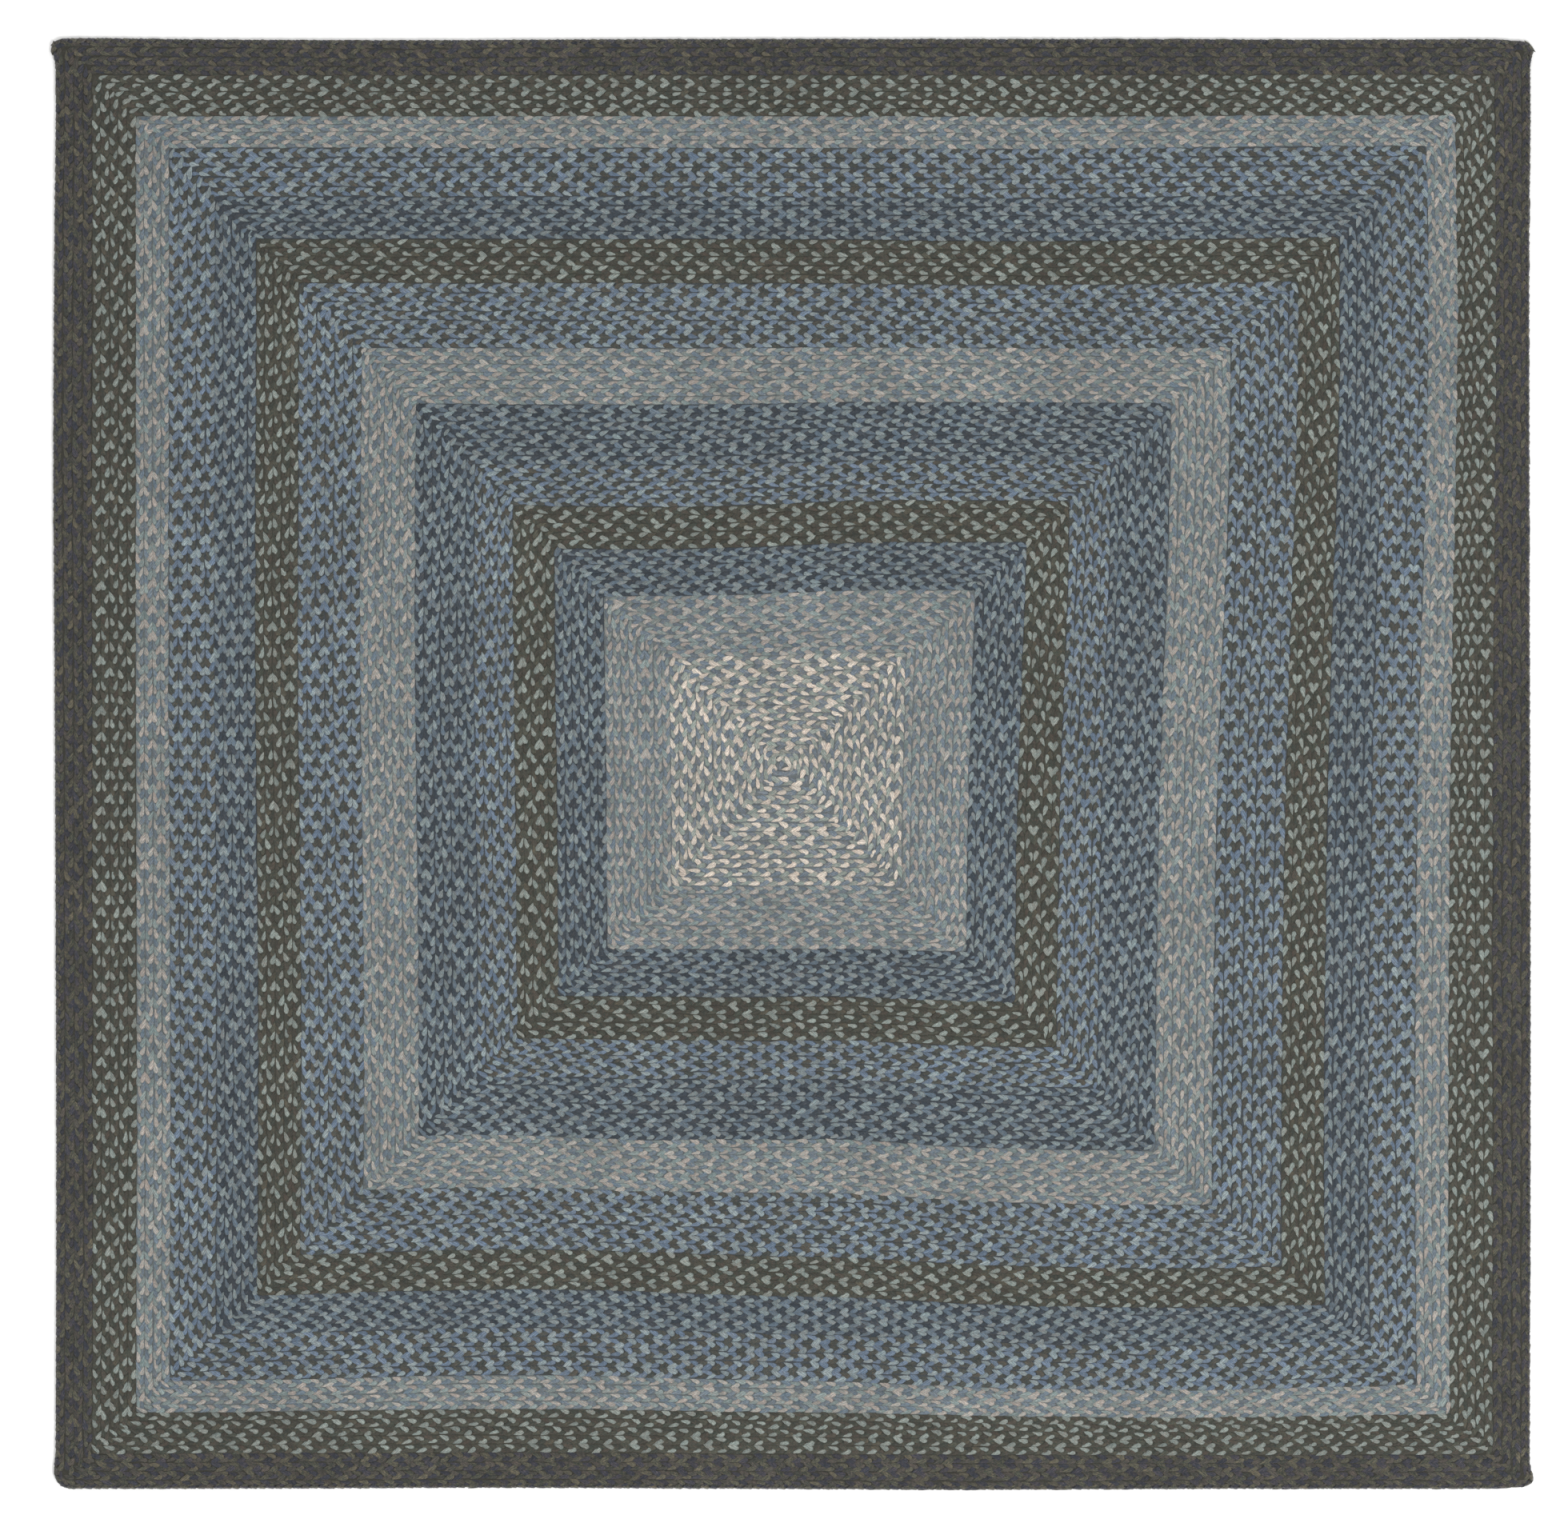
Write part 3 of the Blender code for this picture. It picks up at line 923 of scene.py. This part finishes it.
def underYarn(name, colours):
    # The underside of the braids, pressed flat on the floor: the same matt yarn, with the stitches drawn on
    # it in colour and low relief, and painted shade darkening the grooves between the rows and the gaps
    # between the stitches.
    material, shader = newMaterial("flattened wool-blend braid, " + name, core["roughness"])
    tree = material.node_tree
    place = addNode(tree, "ShaderNodeTexCoord").outputs["Object"]
    fibres = coreFibres(tree, place)
    place = addNode(tree, "ShaderNodeSeparateXYZ", (place,))
    x, y = place.outputs["X"], place.outputs["Y"]
    outX = addNode(tree, "ShaderNodeMath", (x,), operation="ABSOLUTE")
    outY = addNode(tree, "ShaderNodeMath", (y,), operation="ABSOLUTE")
    out = addNode(tree, "ShaderNodeMath", (outX, outY), operation="MAXIMUM")
    isSide = addNode(tree, "ShaderNodeMath", (outX, outY), operation="GREATER_THAN")
    along = addNode(tree, "ShaderNodeMix", {"Factor": isSide, "A": x, "B": y})

    # across a row, and along it in stitches, from a different place in each row
    row = addNode(tree, "ShaderNodeMath", (out, stitch["rowWidth"] * mm), operation="DIVIDE")
    start = addNode(tree, "ShaderNodeMath", (row,), operation="FLOOR")
    start = addNode(tree, "ShaderNodeTexWhiteNoise", (start,), noise_dimensions="1D")
    row = addNode(tree, "ShaderNodeMath", (row,), operation="FRACT")
    isInner = addNode(tree, "ShaderNodeMath", (row, 0.5), operation="LESS_THAN")
    across = fromMiddle(tree, row)
    number = addNode(tree, "ShaderNodeMath", (along, stitch["pitch"] * mm), operation="DIVIDE")
    number = addNode(tree, "ShaderNodeMath", (across, 2 * core["slant"], number), operation="MULTIPLY_ADD")
    number = addNode(tree, "ShaderNodeMath", (isInner, 0.5, number), operation="MULTIPLY_ADD")
    number = addNode(tree, "ShaderNodeMath", (start, 3.0, number), operation="MULTIPLY_ADD")
    inStitch = addNode(tree, "ShaderNodeMath", (number, 1.0), operation="PINGPONG")
    number = addNode(tree, "ShaderNodeMath", (number,), operation="FLOOR")
    strand = addNode(tree, "ShaderNodeMath", (isInner, 2.0, number), operation="MULTIPLY_ADD")
    strand = addNode(tree, "ShaderNodeMath", (strand, 3.0), operation="FLOORED_MODULO")
    (shade,) = strandShades(tree, strand, [trio[:1] for trio in colours])

    # painted shade: darker in the grooves between the rows and the gaps between the stitches
    grooves = addNode(tree, "ShaderNodeMapRange", (across, *core["grooveAt"], 1.0, core["groove"]))
    inStitch = fromMiddle(tree, inStitch)
    gapShade = addNode(tree, "ShaderNodeMapRange", (inStitch, *core["gapAt"], 1.0, core["gap"]))
    tone = addNode(tree, "ShaderNodeMapRange", (fibres, *noiseRange, *core["underTone"]))
    for part in (grooves, gapShade):
        tone = addNode(tree, "ShaderNodeMath", (tone, part), operation="MULTIPLY")
    colour = addNode(tree, "ShaderNodeHueSaturation", {"Color": shade, "Value": tone})
    yarnSurface(tree, shader, colour, tone, core["underRelief"])
    return material


# The yarn inside the braids: colours darker than the strands', as painted shade in the grooves.
corePaintedShades = {
    "oliveNavy": "#383730",
    "oliveSage": "#3F3E36",
    "roseSlate": "#626869",
    "paleRoseSlate": "#676D6E",
    "olivePeriwinkle": "#41464A",
    "navySteel": "#3B4147",
    "creamSlate": "#666C6E",
}


def coreRing(halfWidth, halfDepth, middleX, middleY, turn):
    # like ringLine, but counterclockwise, and with as many points for every ring
    line = []
    for quarter, (sideX, sideY) in enumerate(((1, 1), (-1, 1), (-1, -1), (1, -1))):
        for step in range(core["arcSteps"] + 1):
            angle = math.pi / 2 * (quarter + step / core["arcSteps"])
            x = sideX * (halfWidth - turn) + turn * math.cos(angle)
            y = sideY * (halfDepth - turn) + turn * math.sin(angle)
            line.append((x, y))
        length = 2 * (halfDepth if quarter % 2 else halfWidth) - 2 * turn
        alongX, alongY = ((-1, 0), (0, -1), (1, 0), (0, 1))[quarter]
        for step in range(1, core["steps"]):
            share = step / core["steps"]
            line.append((x + alongX * length * share, y + alongY * length * share))
    return [pulled(middleX + x, middleY + y) for x, y in line]


def coreObject():
    # a slab that fills the braids up to their grooves, with a ring of faces for each band
    mesh = bpy.data.meshes.new("rug_core")
    names = list(corePaintedShades)
    for name in names:
        mesh.materials.append(innerYarn(name, corePaintedShades[name]))
    for name in names:
        mesh.materials.append(underYarn(name, strands[name]))
    rings = []
    for band in bands[:-1]:
        outermost = band == bands[0]
        inset = core["inset"] if outermost else 0
        turn = rug["edgeTurn" if outermost else "rowTurn"]
        rings.append(coreRing(band[3] - inset, band[4] - inset, band[5], band[6], turn))
    count = len(rings[0])
    under = len(rings) * count
    points = []
    for height in (core["high"], core["low"]):
        for ring in rings:
            points += [(x * mm, y * mm, height * mm) for x, y in ring]
    faces = []
    slots = []
    for number in range(len(rings) - 1):
        slot = names.index(bands[number][1])
        for i in range(count):
            j = (i + 1) % count
            a, b = number * count + i, number * count + j
            c, d = a + count, b + count
            faces.append((a, b, d, c))
            faces.append((under + c, under + d, under + b, under + a))
            slots += [slot, len(names) + slot]
    for i in range(count):
        j = (i + 1) % count
        faces.append((under + i, under + j, j, i))
        slots.append(names.index(bands[0][1]))
    last = (len(rings) - 1) * count
    faces.append(tuple(range(last, last + count)))
    faces.append(tuple(reversed(range(under + last, under + last + count))))
    slot = names.index(bands[-1][1])
    slots += [slot, len(names) + slot]
    mesh.from_pydata(points, [], faces)
    mesh.polygons.foreach_set("material_index", slots)
    mesh.update()
    return rugPiece("rug_core", mesh)


corePiece = coreObject()
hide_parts("braided_rug")
print("rug_core", len(corePiece.data.polygons), "faces")


studio = {
    "floorSize": 60.0,  # metres
    "floor": "#FCFCFB",
    "floorRoughness": 0.9,
    "floorSpecular": 0.1,
    "room": 0.943,  # strength of the light from all round
    "lamp": 144,  # watts of the soft light overhead
    "lampSize": 1.6,  # metres
    "lampAt": (1.4, -1.8, 5.4),
    "cameraHeight": 9.0,  # metres above the rug
    "sensor": 36,  # mm
    "photoWidth": 1960,  # pixels
    "photoHeight": 1904,
    "rugAt": (990, 955),  # the rug's middle in the photo
    "pixel": 2 * rug["halfWidth"] / 1844,  # mm of rug to one pixel
}

bpy.context.scene.view_settings.view_transform = "Standard"

half = studio["floorSize"] / 2
floorMesh = bpy.data.meshes.new("floor")
floorCorners = [(-half, -half, 0), (half, -half, 0), (half, half, 0), (-half, half, 0)]
floorMesh.from_pydata(floorCorners, [], [(0, 1, 2, 3)])
floorPiece = addObject("floor", floorMesh)
# White paint, rolled on and matt, which the light makes as white as the photo's background.
floorMaterial, floorShader = newMaterial("white painted floor", studio["floorRoughness"])
floorShader.inputs["Base Color"].default_value = linear(studio["floor"])
floorShader.inputs["Specular IOR Level"].default_value = studio["floorSpecular"]
floorMesh.materials.append(floorMaterial)

room = bpy.data.worlds.new("room")
room.use_nodes = True
bpy.context.scene.world = room
roomLight = room.node_tree.nodes["Background"]
roomLight.inputs["Color"].default_value = (1, 1, 1, 1)
roomLight.inputs["Strength"].default_value = studio["room"]

lampData = bpy.data.lights.new("softbox", "AREA")
lampData.shape = "SQUARE"
lampData.size = studio["lampSize"]
lampData.energy = studio["lamp"]
lamp = addObject("softbox", lampData)
lamp.location = studio["lampAt"]
lamp.rotation_euler = (-lamp.location).to_track_quat("-Z", "Y").to_euler()

camera = addObject("camera", bpy.data.cameras.new("camera"))
camera.data.sensor_width = studio["sensor"]
viewWidth = studio["photoWidth"] * studio["pixel"] * mm
camera.data.lens = studio["sensor"] * studio["cameraHeight"] / viewWidth
camera.data.clip_end = 100
camera.location = (
    (studio["photoWidth"] / 2 - studio["rugAt"][0]) * studio["pixel"] * mm,
    (studio["rugAt"][1] - studio["photoHeight"] / 2) * studio["pixel"] * mm,
    studio["cameraHeight"] + rug["thickness"] * mm,
)
bpy.context.scene.camera = camera
print("studio with its floor, softbox and camera")
